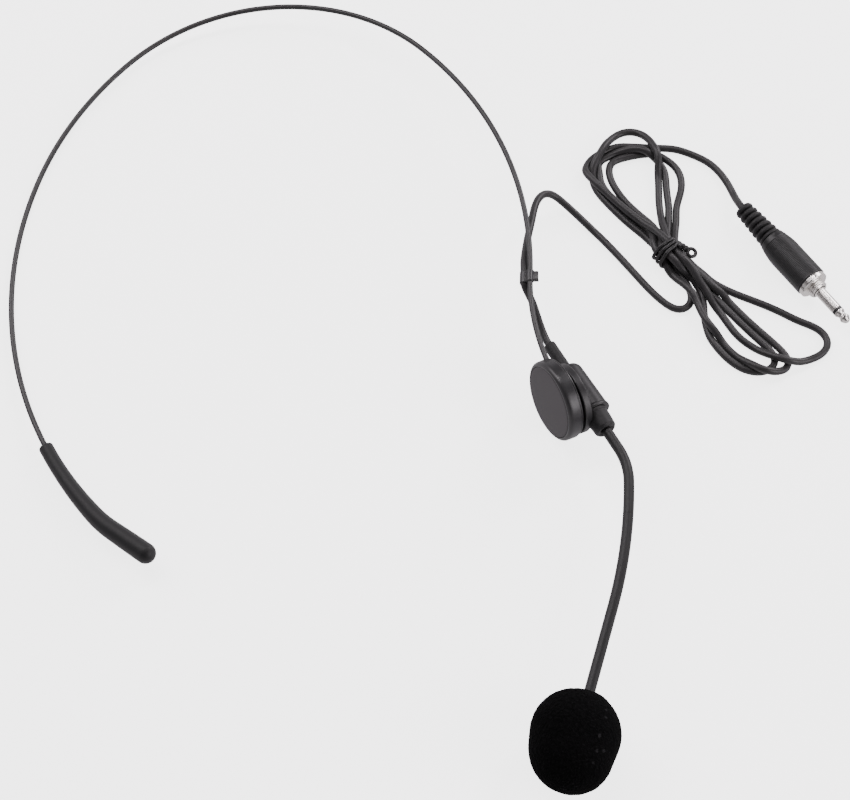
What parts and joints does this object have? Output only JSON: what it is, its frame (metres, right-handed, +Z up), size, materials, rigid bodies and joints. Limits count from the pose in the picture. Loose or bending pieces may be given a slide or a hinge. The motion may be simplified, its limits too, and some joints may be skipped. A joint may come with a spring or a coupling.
{
  "type": "headset microphone",
  "caption": "Wired headset microphone: wire headband with rubber ear tip and round temple pad, swivelling gooseneck boom with foam windscreen, tied cable and screw-lock 3.5 mm plug.",
  "frame": {"origin": "bottom centre of the headset without its cable and plug, on the table it lies on", "axes": "+Z up off the table, +X from the ear tip's side of the band to the pad's side, +Y from the foam windscreen to the crown of the band"},
  "size_m": [0.2666, 0.282, 0.0264],
  "materials": {
    "wire_black": "satin black coating on spring steel",
    "soft_black": "soft matte black rubber",
    "pad_black": "moulded black plastic, satin",
    "pad_soft": "matte dark grey soft pad",
    "holder_black": "moulded black plastic, satin",
    "washer_white": "natural acetal",
    "screw_steel": "bright zinc",
    "bush_brass": "turned brass",
    "core_copper": "soft annealed copper wire",
    "boom_black": "matte black sheath",
    "cable_black": "matte black cable jacket",
    "tie_black": "plastic-coated twist tie",
    "foam_black": "open-cell black foam",
    "capsule_metal": "bare aluminium can",
    "grille_black": "blackened perforated disc",
    "plug_black": "satin black turned metal",
    "nickel": "bright nickel plate",
    "insulator_black": "black insulating plastic",
    "tinned": "tinned brass lug"
  },
  "bodies": {
    "headset": {"headband_wire": "wire_black", "ear_tip": "soft_black", "cable_clip": "pad_black", "pad_shell": "pad_black", "pad_face": "pad_soft", "friction_washer": "washer_white", "cable_jumper": "cable_black", "cable_lead": "cable_black", "cable_hank": "cable_black", "cable_tail": "cable_black", "cable_tie": "tie_black", "plug_boot": "soft_black", "plug_core": "insulator_black", "sleeve_contact": "nickel", "tip_insulator": "insulator_black", "tip_contact": "nickel", "solder_lug": "tinned"},
    "boom_holder": {"holder_body": "holder_black", "pivot_screw": "screw_steel", "spring_washer": "screw_steel", "boom_collar": "holder_black", "boom_ferrule": "bush_brass", "strain_relief": "soft_black", "cable_end": "cable_black", "lead_splice": "soft_black", "boom_rear": "boom_black", "boom_core_rear": "core_copper"},
    "boom_mid": {"boom_mid": "boom_black", "boom_core_mid": "core_copper"},
    "mic_head": {"boom_front": "boom_black", "boom_core_front": "core_copper", "capsule_housing": "holder_black", "capsule_gasket": "soft_black", "mic_capsule": "capsule_metal", "capsule_grille": "grille_black"},
    "windscreen": {"foam_windscreen": "foam_black"},
    "plug_lock": {"lock_sleeve": "plug_black", "lock_thread": "nickel"}
  },
  "joints": [
    {"name": "boom_swivel", "type": "hinge", "parent": "headset", "child": "boom_holder", "pos_m": [0.07585, -0.01183, 0.01285], "axis": [-0.8783, -0.4574, 0.1389], "range_deg": [-45, 45], "deforming": ["cable_jumper"]},
    {"name": "boom_bend_rear", "type": "hinge", "parent": "boom_holder", "child": "boom_mid", "pos_m": [0.09141, -0.02707, 0.01319], "axis": [-0.0994, 0.0161, 0.9949], "range_deg": [-25, 25]},
    {"name": "boom_bend_front", "type": "hinge", "parent": "boom_mid", "child": "mic_head", "pos_m": [0.09352, -0.06404, 0.014], "axis": [-0.0994, 0.0161, 0.9949], "range_deg": [-25, 25]},
    {"name": "windscreen_pull", "type": "slide", "parent": "mic_head", "child": "windscreen", "axis": [-0.2719, -0.9623, -0.0116], "range_m": [0, 0.03]},
    {"name": "plug_lock_turn", "type": "hinge", "parent": "headset", "child": "plug_lock", "pos_m": [0.15119, 0.04197, 0.0053], "axis": [0.5878, -0.809, 0], "continuous": true}
  ]
}
